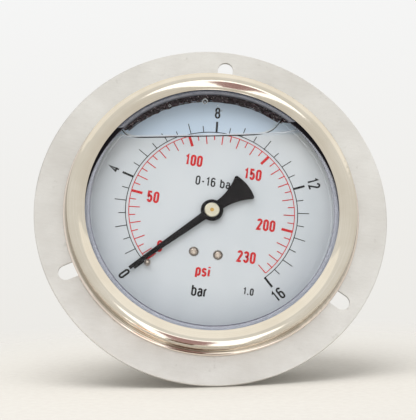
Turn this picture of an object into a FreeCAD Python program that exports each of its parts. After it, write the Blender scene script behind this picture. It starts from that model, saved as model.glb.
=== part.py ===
"""Front-flange pressure gauge, 100 mm size: glycerine-filled steel case and a Bourdon-tube movement.

Millimetres, +Z up. The origin is the centre of the flange's rear face, the face that seats on a
panel. +Y points into the panel, so the dial faces -Y. "Clock" angles run clockwise from
12 o'clock as the reader of the dial sees them.
"""
import FreeCAD, Part
import math
import os

V = FreeCAD.Vector
Y_AXIS = V(0, 1, 0)

# ---- flange
FLANGE_R, FLANGE_T = 66.0, 1.2
SLOT_W, SLOT_START_R, SLOT_END_R, SLOTS = 5.8, 53.0, 58.7, 3     # for bolts on a 116 mm circle
SLOT_TURN = -2.4                      # the flange is welded on a little anticlockwise of the dial

# ---- case, bezel and window
CASE_R, CASE_WALL, CASE_BACK = 50.0, 0.8, 32.0
RIM_R, RIM_FRONT = 52.2, -3.1
LUGS, LUG_SPAN = 4, 22.0
BEZEL_LIP_R, BEZEL_IN_R, BEZEL_R, BEAD_R = 47.1, 52.8, 53.8, 55.2
CREST_R, BEZEL_FRONT, BEZEL_REAR = 51.6, -9.05, -1.5
WINDOW_R, WINDOW_FRONT, WINDOW_REAR = 51.6, -6.6, -3.6
WASHER_IN_R, WASHER_T = 45.2, 0.3
GASKET_IN_R, GASKET_OUT_R, GASKET_FRONT = 47.5, 52.4, -7.3
GASKET_LEG_R, GASKET_REAR = 49.0, -0.58    # its rear leg lines the case as far as the dial

# ---- dial
DIAL_Y, DIAL_T = -0.28, 0.8
DIAL_FLAT_R, DIAL_R, DIAL_STEP = 45.0, 48.7, 0.2
DIAL_SCREW_X, DIAL_SCREW_Z = 4.5, -16.7
STOP_R, STOP_CLOCK, STOP_PIN_R = 31.5, -138.87, 1.15

# ---- pointer, drawn at zero
ZERO_CLOCK = -135.0
BLADE_Y, BLADE_T, POINTER_L = -1.9, 0.45, 38.0
HUB_Y, HUB_R, ARBOR_R = -2.6, 2.85, 0.75

# ---- movement: gears of 0.2 module, 12 to 1
MODULE, PINION_TEETH, SECTOR_TEETH = 0.2, 15, 180
ADDENDUM, DEDENDUM, BACKLASH = 0.8 * MODULE, 1.2 * MODULE, 0.04
PINION_R, SECTOR_R = MODULE * PINION_TEETH / 2, MODULE * SECTOR_TEETH / 2
MESH_DEG = -55.0
SECTOR_X = (PINION_R + SECTOR_R) * math.cos(math.radians(MESH_DEG))
SECTOR_Z = (PINION_R + SECTOR_R) * math.sin(math.radians(MESH_DEG))
TAIL_DEG, TAIL_L = -36.07, 9.0
LINK_DEG, LINK_L = 55.5, 12.0
TAIL_X = SECTOR_X + TAIL_L * math.cos(math.radians(TAIL_DEG))
TAIL_Z = SECTOR_Z + TAIL_L * math.sin(math.radians(TAIL_DEG))
TIP_X = TAIL_X + LINK_L * math.cos(math.radians(LINK_DEG))
TIP_Z = TAIL_Z + LINK_L * math.sin(math.radians(LINK_DEG))
FRONT_PLATE, BACK_PLATE = (4.0, 5.2), (13.0, 14.2)
SECTOR_Y, LINK_Y, ARM_Y = (8.0, 9.0), (9.3, 10.1), (10.4, 11.4)
PILLARS = ((-9.0, 3.5), (17.0, -3.0), (9.0, -21.0), (-9.5, -19.0))
PLATE_EDGE = 3.2
MOUNT_SCREWS = ((-4.0, -19.0), (4.0, -19.0))
PIN_R, PIVOT_R, RUNNING = 0.6, 0.5, 0.05
OPEN_PIVOT = 0.12
SPRING_TURNS, SPRING_T, SPRING_R, SPRING_END_DEG = 6, 0.12, 6.9, 158.7
SPRING_Y, SPRING_W = 11.1, 0.8
COLLET_R = 1.9

# ---- Bourdon tube and socket
TUBE_R, TUBE_Y, TUBE_W, TUBE_T, TUBE_WALL = 36.0, 15.0, 13.0, 4.0, 0.5
TUBE_ROOT, TUBE_TIP = 200.0, 480.0
ENTRY_Z = -30.0
HEX_Y, HEX_AF = 35.0, 22.0
THREAD_Y, THREAD_R, THREAD_L, STEM_END, BORE_R = 49.0, 10.48, 17.0, 70.0, 2.0
BASE_SCREWS = ((-14.5, -22.0), (14.5, -22.0), (14.5, -38.0), (-14.5, -38.0))


def clock(radius, degrees, y=0.0):
    """Point at a radius and clock angle from the gauge axis."""
    a = math.radians(degrees)
    return V(radius * math.sin(a), y, radius * math.cos(a))


def rod(radius, y0, y1, x=0.0, z=0.0):
    return Part.makeCylinder(radius, y1 - y0, V(x, y0, z), Y_AXIS)


def hollow(outer, inner, y0, y1, x=0.0, z=0.0):
    return rod(outer, y0, y1, x, z).cut(rod(inner, y0 - 1, y1 + 1, x, z))


def box(x0, x1, y0, y1, z0, z1):
    return Part.makeBox(x1 - x0, y1 - y0, z1 - z0, V(x0, y0, z0))


def outline(place, start, *steps):
    """Closed face. A step is a point for a straight edge, or (middle, end) for an arc."""
    edges, here = [], start
    for step in steps + (start,):
        if isinstance(step[0], tuple):
            middle, end = step
            edges.append(Part.Arc(place(here), place(middle), place(end)).toShape())
        else:
            end = step
            if math.dist(here, end) > 1e-6:
                edges.append(Part.makeLine(place(here), place(end)))
        here = end
    return Part.Face(Part.Wire(edges))


def turned(*points):
    """Turned piece about the gauge axis, from an (r, y) outline."""
    return outline(lambda p: V(p[0], p[1], 0), *points).revolve(V(), Y_AXIS, 360)


def plate(y0, y1, *points):
    """Flat piece from an (x, z) outline."""
    return outline(lambda p: V(p[0], y0, p[1]), *points).extrude(V(0, y1 - y0, 0))


def bar(a, b, half_width, y0, y1):
    """Flat bar between two (x, z) points, with round ends."""
    (ax, az), (bx, bz) = a, b
    length = math.hypot(bx - ax, bz - az)
    nx, nz = -(bz - az) / length * half_width, (bx - ax) / length * half_width
    ux, uz = (bx - ax) / length * half_width, (bz - az) / length * half_width
    return plate(y0, y1, (ax + nx, az + nz), (bx + nx, bz + nz),
                 ((bx + ux, bz + uz), (bx - nx, bz - nz)), (ax - nx, az - nz),
                 ((ax - ux, az - uz), (ax + nx, az + nz)))


def arc_block(r0, r1, clock0, clock1, y0, y1):
    """Block between two radii and two clock angles."""
    face = Part.makePolygon([V(0, y0, r0), V(0, y1, r0), V(0, y1, r1), V(0, y0, r1), V(0, y0, r0)])
    block = Part.Face(face).revolve(V(), Y_AXIS, clock1 - clock0)
    block.rotate(V(), Y_AXIS, clock0)
    return block


def screw(x, z, seat, head_r, head_h, shank_r, length, into=1):
    """Pan-head screw seated on the plane y = seat; into is +1 when it is driven towards +Y."""
    dome = outline(lambda p: V(p[0], p[1], 0), (0, -head_h), ((head_r * 0.72, -head_h * 0.8),
                   (head_r, -head_h * 0.25)), (head_r, 0), (0, 0)).revolve(V(), Y_AXIS, 360)
    body = dome.fuse(rod(shank_r, 0, length))
    blade, depth = head_r * 0.16, head_h * 0.45
    for w, h in ((head_r * 0.6, blade), (blade, head_r * 0.6)):
        body = body.cut(box(-w, w, -head_h - 1, -head_h + depth, -h, h))
    if into < 0:
        body.rotate(V(), V(0, 0, 1), 180)
    body.translate(V(x, seat, z))
    return body


def tooth(pitch_r, count, number, offset):
    """Four corner points (radius, angle) of one gear tooth, in order of rising angle."""
    middle = (number + offset) * 2 * math.pi / count
    half = math.pi * MODULE / 4 - BACKLASH / 2
    root, tip = pitch_r - DEDENDUM, pitch_r + ADDENDUM
    slope = math.tan(math.radians(20))
    at_root, at_tip = (half + slope * DEDENDUM) / root, (half - slope * ADDENDUM) / tip
    return [(root, middle - at_root), (tip, middle - at_tip),
            (tip, middle + at_tip), (root, middle + at_root)]


def polar(radius, angle):
    return radius * math.cos(angle), radius * math.sin(angle)


# ---------------------------------------------------------------- case, bezel, window and dial
def front_flange():
    """Pressed mounting flange, welded round the case, with three radial slots."""
    body = hollow(FLANGE_R, CASE_R, -FLANGE_T, 0)
    slot = bar((0, SLOT_START_R), (0, SLOT_END_R), SLOT_W / 2, -FLANGE_T - 1, 1)
    for i in range(SLOTS):
        cutter = slot.copy()
        cutter.rotate(V(), Y_AXIS, 360 / SLOTS * i + SLOT_TURN)
        body = body.cut(cutter)
    edges = [e for e in body.Edges
             if abs(e.BoundBox.YMin + FLANGE_T) < 1e-6 and abs(e.BoundBox.YMax + FLANGE_T) < 1e-6
             and e.BoundBox.XMax > FLANGE_R - 0.1]
    return body.makeFillet(0.4, edges)


def case_shell():
    """Drawn cup with a rolled front rim that the bezel's lugs hook behind."""
    inner = CASE_R - CASE_WALL
    r = 4.0
    cup = turned((inner, RIM_FRONT), (RIM_R, RIM_FRONT), (RIM_R, RIM_FRONT + CASE_WALL),
                 (CASE_R, RIM_FRONT + CASE_WALL), (CASE_R, CASE_BACK - r),
                 ((CASE_R - r * 0.293, CASE_BACK - r * 0.293), (CASE_R - r, CASE_BACK)),
                 (0, CASE_BACK), (0, CASE_BACK - CASE_WALL), (CASE_R - r, CASE_BACK - CASE_WALL),
                 ((CASE_R - r + (r - CASE_WALL) * 0.707, CASE_BACK - r + (r - CASE_WALL) * 0.707),
                  (inner, CASE_BACK - r)))
    for i in range(LUGS):
        mid = 360 / LUGS * i
        cup = cup.cut(arc_block(CASE_R + 0.4, RIM_R + 1, mid - LUG_SPAN / 2 - 2,
                                mid + LUG_SPAN / 2 + 2, RIM_FRONT - 1, RIM_FRONT + 1))
    cup = cup.cut(rod(11.3, CASE_BACK - 2, CASE_BACK + 1, 0, ENTRY_Z))
    for x, z in BASE_SCREWS:
        cup = cup.cut(rod(2.1, CASE_BACK - 2, CASE_BACK + 1, x, z))
    return cup.cut(Part.makeCylinder(5.2, 10, V(0, 20, CASE_R - 5)))


def bezel_ring():
    """Bayonet bezel rolled from sheet: an inner lip, a broad domed face, a skirt and a bead."""
    hem_end, hem_r = WINDOW_FRONT - WASHER_T - 0.1, GASKET_IN_R - 0.05
    body = turned((BEZEL_LIP_R, hem_end), (BEZEL_LIP_R, -7.4), (BEZEL_LIP_R + 0.2, -7.52),
                  ((49.25, -8.63), (CREST_R, BEZEL_FRONT)), ((52.44, -8.98), (53.25, -8.76)),
                  ((53.58, -8.51), (BEZEL_R - 0.1, -8.12)),
                  (BEZEL_R, -3.5), ((BEZEL_R - 0.15, -3.1), (BEZEL_R + 0.1, -2.8)),
                  ((54.75, -2.65), (BEAD_R, -2.2)), (BEAD_R, -1.8),
                  ((BEAD_R - 0.1, -1.6), (BEAD_R - 0.35, BEZEL_REAR)),
                  (BEZEL_IN_R, BEZEL_REAR), (BEZEL_IN_R, -7.4), ((52.4, -8.0), (CREST_R, -8.25)),
                  ((50.2, -8.0), (48.7, GASKET_FRONT)), (hem_r, GASKET_FRONT), (hem_r, hem_end))
    for i in range(LUGS):
        mid = 360 / LUGS * (i + 0.5)
        body = body.fuse(arc_block(CASE_R + 0.5, BEZEL_IN_R + 0.3, mid - LUG_SPAN / 2,
                                   mid + LUG_SPAN / 2, RIM_FRONT + CASE_WALL + 0.1,
                                   BEZEL_REAR))
    return body.removeSplitter()


def window():
    body = rod(WINDOW_R, WINDOW_FRONT, WINDOW_REAR)
    return body.makeChamfer(0.3, [e for e in body.Edges if len(e.Vertexes) == 1])


def window_washer():
    """Thin clear ring on the window's front, which shows inside the bezel's lip."""
    return hollow(WINDOW_R - 0.2, WASHER_IN_R, WINDOW_FRONT - WASHER_T, WINDOW_FRONT)


def window_gasket():
    """Rubber ring that grips the window and its washer, with a leg that lines the case."""
    return turned((GASKET_IN_R, GASKET_FRONT), (GASKET_OUT_R, GASKET_FRONT),
                  (GASKET_OUT_R, RIM_FRONT), (GASKET_LEG_R, RIM_FRONT),
                  (GASKET_LEG_R, GASKET_REAR), (GASKET_IN_R, GASKET_REAR),
                  (GASKET_IN_R, WINDOW_REAR), (WINDOW_R + 0.1, WINDOW_REAR),
                  (WINDOW_R + 0.1, WINDOW_FRONT - WASHER_T),
                  (GASKET_IN_R, WINDOW_FRONT - WASHER_T))


def dial():
    """Pressed dial with a stepped rim, a hole for the arbor and two screw holes."""
    back = DIAL_Y + DIAL_T
    top = DIAL_Y - DIAL_STEP
    body = turned((3.0, DIAL_Y), (DIAL_FLAT_R - 0.3, DIAL_Y), (DIAL_FLAT_R, top), (DIAL_R, top),
                  (DIAL_R, top + DIAL_T), (DIAL_FLAT_R + 0.8, top + DIAL_T),
                  (DIAL_FLAT_R + 0.5, back), (3.0, back))
    for side in (-1, 1):
        body = body.cut(rod(0.9, -2, 3, side * DIAL_SCREW_X, DIAL_SCREW_Z))
    pin = clock(STOP_R, STOP_CLOCK)
    return body.cut(rod(STOP_PIN_R / 2, -2, 3, pin.x, pin.z))


def dial_screws():
    return [screw(side * DIAL_SCREW_X, DIAL_SCREW_Z, DIAL_Y, 1.8, 0.7, 0.8, 3.0) for side in (-1, 1)]


def dial_posts():
    """Spacers pressed into the front plate, tapped for the dial's screws."""
    posts = []
    for side in (-1, 1):
        at = (side * DIAL_SCREW_X, DIAL_SCREW_Z)
        post = rod(1.8, DIAL_Y + DIAL_T, FRONT_PLATE[0], *at).fuse(rod(1.0, 3, FRONT_PLATE[1], *at))
        posts.append(post.cut(rod(0.8, 0, 3.4, *at)).removeSplitter())
    return posts


def stop_pin():
    """Round-ended pin riveted in the dial, which the needle rests on at zero."""
    at, tip, r = clock(STOP_R, STOP_CLOCK), BLADE_Y - 0.6, STOP_PIN_R
    pin = turned((0, tip), ((r * 0.74, tip + r * 0.22), (r, tip + r * 0.7)), (r, DIAL_Y),
                 (r / 2, DIAL_Y), (r / 2, DIAL_Y + DIAL_T), (0, DIAL_Y + DIAL_T))
    pin.translate(V(at.x, 0, at.z))
    return pin


def filler_plug():
    """Rubber plug in the hole at the top of the case."""
    plug = (Part.makeCylinder(7.5, 1.7, V(0, 20, CASE_R + 0.1))
            .fuse(Part.makeCylinder(5.1, 3.4, V(0, 20, CASE_R - 2.6)))
            .fuse(Part.makeCone(5.2, 6.0, 1.2, V(0, 20, CASE_R - 3.7))))
    plug = plug.removeSplitter()
    return plug.makeFillet(0.8, [e for e in plug.Edges if e.BoundBox.ZMin > CASE_R + 1.7])


# ---------------------------------------------------------------- socket and Bourdon tube
def socket():
    """One machined block: tube saddle, movement pad, base, neck, hexagon and threaded stem."""
    body = arc_block(31.5, 41.5, 164, TUBE_ROOT, 8, 22)
    body = body.fuse(box(-7, 7, BACK_PLATE[1], 23, -33, -14.5))
    body = body.fuse(rod(13, 21.8, 27, 0, ENTRY_Z))
    body = body.fuse(box(-18, 18, 26, CASE_BACK - CASE_WALL, -42, -18))
    body = body.fuse(rod(11.0, 30, 36, 0, ENTRY_Z))
    corner = HEX_AF / math.sqrt(3)
    hexagon = [(corner * math.cos(math.radians(a)), ENTRY_Z + corner * math.sin(math.radians(a)))
               for a in range(0, 360, 60)]
    body = body.fuse(plate(HEX_Y, THREAD_Y - 3, *hexagon))
    end = THREAD_Y + THREAD_L
    stem = outline(lambda p: V(p[0], p[1], 0), (0, THREAD_Y - 4), (8.9, THREAD_Y - 4),
                   (8.9, THREAD_Y), (THREAD_R, THREAD_Y), (THREAD_R, end), (THREAD_R - 0.8, end + 0.8),
                   (3.0, end + 0.8), (3.0, STEM_END), (0, STEM_END))
    stem = stem.revolve(V(), Y_AXIS, 360)
    stem.translate(V(0, 0, ENTRY_Z))
    body = body.fuse(stem)
    body = body.cut(rod(BORE_R, 13, STEM_END + 1, 0, ENTRY_Z))
    root = clock(TUBE_R, TUBE_ROOT)
    run = V(root.x, 0, root.z - ENTRY_Z)
    body = body.cut(Part.makeCylinder(1.2, run.Length + 2, V(0, TUBE_Y, ENTRY_Z), run))
    body = body.cut(hollow(15.0, 12.6, 29.0, CASE_BACK, 0, ENTRY_Z))
    for x, z in BASE_SCREWS:
        body = body.cut(rod(1.65, 27, CASE_BACK, x, z))
    for x, z in MOUNT_SCREWS:
        body = body.cut(rod(0.9, 13, 18.6, x, z))
    return body.removeSplitter()


def socket_seal():
    """O-ring in the socket's groove, against the inside of the case back."""
    return Part.makeTorus(13.8, 1.1, V(0, CASE_BACK - CASE_WALL - 1.1, ENTRY_Z), Y_AXIS)


def socket_screws():
    return [screw(x, z, CASE_BACK, 3.6, 2.4, 1.65, 4.6, into=-1) for x, z in BASE_SCREWS]


def throttle_screw():
    """Slotted restrictor in the mouth of the pressure bore."""
    end = STEM_END - 1
    body = hollow(BORE_R, 0.3, end - 4, end, 0, ENTRY_Z)
    return body.cut(box(-3, 3, end - 0.7, end + 1, ENTRY_Z - 0.3, ENTRY_Z + 0.3))


def bourdon_tube():
    """Flat-oval tube bent round 280 degrees, open into the socket at its root."""
    def oval(width, thick):
        flat, end = width / 2 - thick / 2, thick / 2
        place = lambda p: V(0, TUBE_Y + p[0], TUBE_R + p[1])
        return outline(place, (-flat, end), (flat, end), ((flat + end, 0), (flat, -end)),
                       (-flat, -end), ((-flat - end, 0), (-flat, end)))
    skin = oval(TUBE_W, TUBE_T).cut(oval(TUBE_W - 2 * TUBE_WALL, TUBE_T - 2 * TUBE_WALL))
    body = skin.Faces[0].revolve(V(), Y_AXIS, TUBE_TIP - TUBE_ROOT)
    body.rotate(V(), Y_AXIS, TUBE_ROOT)
    return body


def tube_end_piece():
    """Cap brazed into the tube's tip, with the arm that drives the link."""
    body = arc_block(33.0, 39.0, TUBE_TIP - 360, TUBE_TIP - 353, 8, 22)
    anchor = clock(34.5, TUBE_TIP - 356)
    body = body.fuse(bar((anchor.x, anchor.z), (TIP_X, TIP_Z), 1.6, *ARM_Y))
    return body.cut(rod(PIN_R, 5, 20, TIP_X, TIP_Z)).removeSplitter()


def tip_pin():
    return rod(PIN_R, 8.6, ARM_Y[1], TIP_X, TIP_Z).fuse(rod(1.1, 8.5, 9.15, TIP_X, TIP_Z))


# ---------------------------------------------------------------- movement
def movement_plate(y0, y1, centre_hole):
    centres = list(PILLARS)
    body = plate(y0, y1, *centres)
    for a, b in zip(centres, centres[1:] + centres[:1]):
        body = body.fuse(bar(a, b, PLATE_EDGE, y0, y1))
    body = body.fuse(bar((-4, 2), (5, 1), PLATE_EDGE + 0.8, y0, y1)).removeSplitter()
    body = body.cut(rod(centre_hole, y0 - 1, y1 + 1))
    body = body.cut(rod(PIVOT_R + RUNNING, y0 - 1, y1 + 1, SECTOR_X, SECTOR_Z))
    for x, z in PILLARS:
        body = body.cut(rod(0.8, y0 - 1, y1 + 1, x, z))
    return body


def movement_front_plate():
    body = movement_plate(*FRONT_PLATE, ARBOR_R + RUNNING)
    for side in (-1, 1):
        body = body.cut(rod(1.0, 3, 6, side * DIAL_SCREW_X, DIAL_SCREW_Z))
    return body


def movement_back_plate():
    body = movement_plate(*BACK_PLATE, PIVOT_R + RUNNING)
    for x, z in MOUNT_SCREWS:
        body = body.cut(rod(1.0, 12, 15, x, z))
    return body


def movement_pillars():
    front, back = FRONT_PLATE[1], BACK_PLATE[0]
    return [rod(1.5, front, back, x, z).cut(rod(0.8, front - 1, front + 2.4, x, z))
            .cut(rod(0.8, back - 2.4, back + 1, x, z)) for x, z in PILLARS]


def plate_screws():
    """Screws of both plates: a front and a rear one in each pillar."""
    return ([screw(x, z, FRONT_PLATE[0], 1.6, 1.1, 0.8, 3.4) for x, z in PILLARS]
            + [screw(x, z, BACK_PLATE[1], 1.6, 1.1, 0.8, 3.4, into=-1) for x, z in PILLARS])


def movement_screws():
    return [screw(x, z, BACK_PLATE[0], 1.8, 1.2, 0.9, 5.4) for x, z in MOUNT_SCREWS]


def pinion_arbor():
    """Arbor with its cut pinion; the pointer's hub is pressed on its front end."""
    body = rod(ARBOR_R, HUB_Y - 0.05, 5.3).fuse(rod(1.0, 5.3, 12.8)).fuse(rod(PIVOT_R, 12, 14.2))
    points = []
    for i in range(PINION_TEETH):
        points += [polar(r, a) for r, a in tooth(PINION_R, PINION_TEETH, i,
                                                 MESH_DEG / 360 * PINION_TEETH)]
    return body.fuse(plate(7, 10, *points)).removeSplitter()


def sector_gear():
    """Toothed sector, its two arms and the tail that the link drives."""
    y0, y1 = SECTOR_Y
    mesh = (MESH_DEG + 180) / 360 * SECTOR_TEETH
    points = []
    for i in range(-14, 2):
        points += [polar(r, a) for r, a in tooth(SECTOR_R, SECTOR_TEETH, i, mesh + 0.5)]
    first, last = math.atan2(points[0][1], points[0][0]), math.atan2(points[-1][1], points[-1][0])
    first, last = first - 0.03, last + 0.03
    root, inner = SECTOR_R - DEDENDUM, SECTOR_R - 2.6
    rim = plate(y0, y1, polar(root, first), *points, polar(root, last), polar(inner, last),
                (polar(inner, (first + last) / 2), polar(inner, first)))
    for angle in (first + 0.05, last - 0.05):
        rim = rim.fuse(bar((0, 0), polar(inner + 0.8, angle), 0.75, y0, y1))
    tail = polar(TAIL_L, math.radians(TAIL_DEG))
    rim = rim.fuse(bar((0, 0), tail, 1.5, y0, y1)).fuse(rod(2.6, y0 - 0.6, y1 + 0.6))
    rim = rim.cut(rod(0.9, 5, 12)).cut(rod(PIN_R, 5, 12, *tail)).removeSplitter()
    rim.translate(V(SECTOR_X, 0, SECTOR_Z))
    return rim


def sector_arbor():
    at = (SECTOR_X, SECTOR_Z)
    return rod(PIVOT_R, 4.0, 14.2, *at).fuse(rod(0.9, 5.4, 12.8, *at)).removeSplitter()


def sector_pin():
    return rod(PIN_R, SECTOR_Y[0], 10.8, TAIL_X, TAIL_Z).fuse(rod(1.1, 10.3, 10.8, TAIL_X, TAIL_Z))


def connecting_link():
    body = bar((TIP_X, TIP_Z), (TAIL_X, TAIL_Z), 0.8, *LINK_Y)
    for x, z in ((TIP_X, TIP_Z), (TAIL_X, TAIL_Z)):
        body = body.fuse(rod(1.5, *LINK_Y, x, z))
    body = body.cut(rod(PIN_R + RUNNING, 8, 12, TIP_X, TIP_Z))
    return body.cut(rod(PIN_R + OPEN_PIVOT, 8, 12, TAIL_X, TAIL_Z)).removeSplitter()


def hairspring():
    """Flat spiral of half circles that takes up the gears' play: from the collet out to the stud."""
    first = COLLET_R + SPRING_T / 2 + 0.02
    step = (SPRING_R - first) / (2 * SPRING_TURNS)
    end = math.radians(SPRING_END_DEG)

    def at(half_turn, angle, offset):
        """Point on one half turn; the centres of odd half turns sit one step towards the end."""
        x, z = polar(first + half_turn * step + offset, end + angle)
        cx, cz = polar(half_turn % 2 * step, end)
        return V(cx + x, SPRING_Y, cz + z)

    inner, outer = [[Part.Arc(*[at(k, (k % 2 + part) * math.pi, offset) for part in (0, 0.5, 1)]).toShape()
                     for k in range(2 * SPRING_TURNS)] for offset in (-SPRING_T / 2, SPRING_T / 2)]
    last = 2 * SPRING_TURNS - 1
    caps = [Part.makeLine(at(k, angle, -SPRING_T / 2), at(k, angle, SPRING_T / 2))
            for k, angle in ((0, 0), (last, 2 * math.pi))]
    wire = Part.Wire(inner + [caps[1]] + outer[::-1] + [caps[0]])
    return Part.Face(wire).extrude(V(0, SPRING_W, 0))


def hairspring_stud():
    """Post on the back plate that holds the spring's outer end."""
    outer_end = 90 - SPRING_END_DEG
    return arc_block(SPRING_R - 0.6, SPRING_R + 0.6, outer_end - 11, outer_end, 10.7, BACK_PLATE[0])


def hairspring_collet():
    return hollow(COLLET_R, 1.0, 10.6, 12.4)


# ---------------------------------------------------------------- pointer
def pointer_blade():
    """Tapered needle, round boss and spade-shaped counterweight, turned to the zero mark."""
    y0, y1 = BLADE_Y, BLADE_Y + BLADE_T
    body = plate(y0, y1, (-0.65, POINTER_L), (0.65, POINTER_L), (1.55, 0), (-1.55, 0))
    body = body.fuse(plate(y0, y1, (-1.9, -2.0), (1.9, -2.0), ((2.9, -9.6), (5.2, -14.6)),
                           ((5.4, -15.6), (4.6, -16.1)), ((0, -16.8), (-4.6, -16.1)),
                           ((-5.4, -15.6), (-5.2, -14.6)), ((-2.9, -9.6), (-1.9, -2.0))))
    body = body.fuse(rod(4.2, y0, y1)).cut(rod(1.5, y0 - 1, y1 + 1)).removeSplitter()
    body.rotate(V(), Y_AXIS, ZERO_CLOCK)
    return body


def pointer_hub():
    """Turned boss on the blade, with a sleeve that presses on the arbor."""
    return turned((ARBOR_R, HUB_Y), (HUB_R - 0.25, HUB_Y),
                  ((HUB_R - 0.07, HUB_Y + 0.07), (HUB_R, HUB_Y + 0.25)), (HUB_R, BLADE_Y),
                  (1.5, BLADE_Y), (1.5, -0.75), (ARBOR_R, -0.75))


NODES = (front_flange, case_shell, bezel_ring, window, window_washer, window_gasket, dial,
         dial_screws, dial_posts, stop_pin, filler_plug, socket, socket_seal, socket_screws,
         throttle_screw, bourdon_tube, tube_end_piece, tip_pin, movement_front_plate,
         movement_back_plate, movement_pillars, plate_screws, movement_screws, pinion_arbor,
         sector_gear, sector_arbor, sector_pin, connecting_link, hairspring, hairspring_stud,
         hairspring_collet, pointer_blade, pointer_hub)

os.makedirs("parts", exist_ok=True)
for build in NODES:
    shape = build()
    if isinstance(shape, list):
        shape = Part.makeCompound(shape)
    shape.exportStep("parts/%s.step" % build.__name__)
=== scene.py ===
import math
import random

import bmesh
import bpy
from mathutils import Matrix, Vector


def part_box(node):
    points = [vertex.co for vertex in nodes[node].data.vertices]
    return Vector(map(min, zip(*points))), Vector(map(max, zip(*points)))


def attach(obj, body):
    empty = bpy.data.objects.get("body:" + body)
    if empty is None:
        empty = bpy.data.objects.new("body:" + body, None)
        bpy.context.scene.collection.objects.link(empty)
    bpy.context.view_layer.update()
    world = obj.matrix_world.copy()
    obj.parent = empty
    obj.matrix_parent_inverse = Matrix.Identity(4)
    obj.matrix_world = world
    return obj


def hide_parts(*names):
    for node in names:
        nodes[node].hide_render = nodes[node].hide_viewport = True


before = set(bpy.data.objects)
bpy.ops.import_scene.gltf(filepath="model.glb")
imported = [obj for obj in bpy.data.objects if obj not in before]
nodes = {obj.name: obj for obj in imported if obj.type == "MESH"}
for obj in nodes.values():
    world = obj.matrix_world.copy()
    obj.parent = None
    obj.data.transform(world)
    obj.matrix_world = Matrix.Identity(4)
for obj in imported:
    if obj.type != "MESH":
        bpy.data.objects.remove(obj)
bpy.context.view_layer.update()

MM = 0.001
scene = bpy.context.scene


def low(node):
    """The least corner of a node's box, in millimetres."""
    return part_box(node)[0] / MM


def high(node):
    """The greatest corner of a node's box, in millimetres."""
    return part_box(node)[1] / MM


# ---------------------------------------------------------------- the places everything hangs on
FLANGE_R = high("front_flange").x
DIAL_FRONT = high("dial").y - 0.8          # the front of the flat part of the dial
GLASS_BACK = high("window").y
FILL_R = 48.4                              # the liquid's edge, inside the case
FILL_FRONT, FILL_BACK = GLASS_BACK + 0.04, DIAL_FRONT + 0.3
WASHER_R, GASKET_R = 45.2, 47.5            # the bores of the clear washer and the gasket
STEM = Vector((0.0, 0.0, (low("socket_seal").z + high("socket_seal").z) / 2))
THREAD_R = 10.48                           # over the tops of the stem's thread
ROLL = 10.6                                # the dial stands this far round from level

# The gauge rests on the flange's lowest edge and the edge of its stem, so it leans back.
roll = math.radians(ROLL)
lean = math.atan2(FLANGE_R - (-STEM.z * math.cos(roll) + THREAD_R), high("socket").y - 4.0)
UP = Vector((-math.sin(roll) * math.cos(lean), -math.sin(lean), math.cos(roll) * math.cos(lean)))
GROUND = -FLANGE_R * math.hypot(UP.x, UP.z)
LEVEL = 27.9                               # of the liquid, along UP from the gauge's centre


# ---------------------------------------------------------------- camera
def aim(azimuth, elevation):
    """The way to a viewer, from straight in front of the dial at (0, 0)."""
    a, e = math.radians(azimuth), math.radians(elevation)
    return Vector((math.sin(a) * math.cos(e), -math.cos(a) * math.cos(e), math.sin(e)))


def camera(azimuth, elevation, turned, distance, target, lens):
    """A camera that looks at the target, rolled by a few degrees."""
    back = aim(azimuth, elevation)
    right = Vector((math.cos(math.radians(azimuth)), math.sin(math.radians(azimuth)), 0.0))
    up = back.cross(right)
    t = math.radians(turned)
    across, above = right * math.cos(t) + up * math.sin(t), up * math.cos(t) - right * math.sin(t)
    data = bpy.data.cameras.new("camera")
    data.lens, data.sensor_width = lens, 36.0
    made = bpy.data.objects.new("camera", data)
    scene.collection.objects.link(made)
    made.matrix_world = Matrix.Translation((Vector(target) + back * distance) * MM) @ Matrix(
        (across, above, back)).transposed().to_4x4()
    scene.camera = made


camera(-0.9, -19.8, 8.2, 550.0, (-1.43, 0.0, 1.03), 126.1)


# ---------------------------------------------------------------- node materials
def srgb(r, g, b):
    return tuple((c / 12.92 if c <= 0.04045 else ((c + 0.055) / 1.055) ** 2.4)
                 for c in (r / 255, g / 255, b / 255)) + (1.0,)


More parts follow.
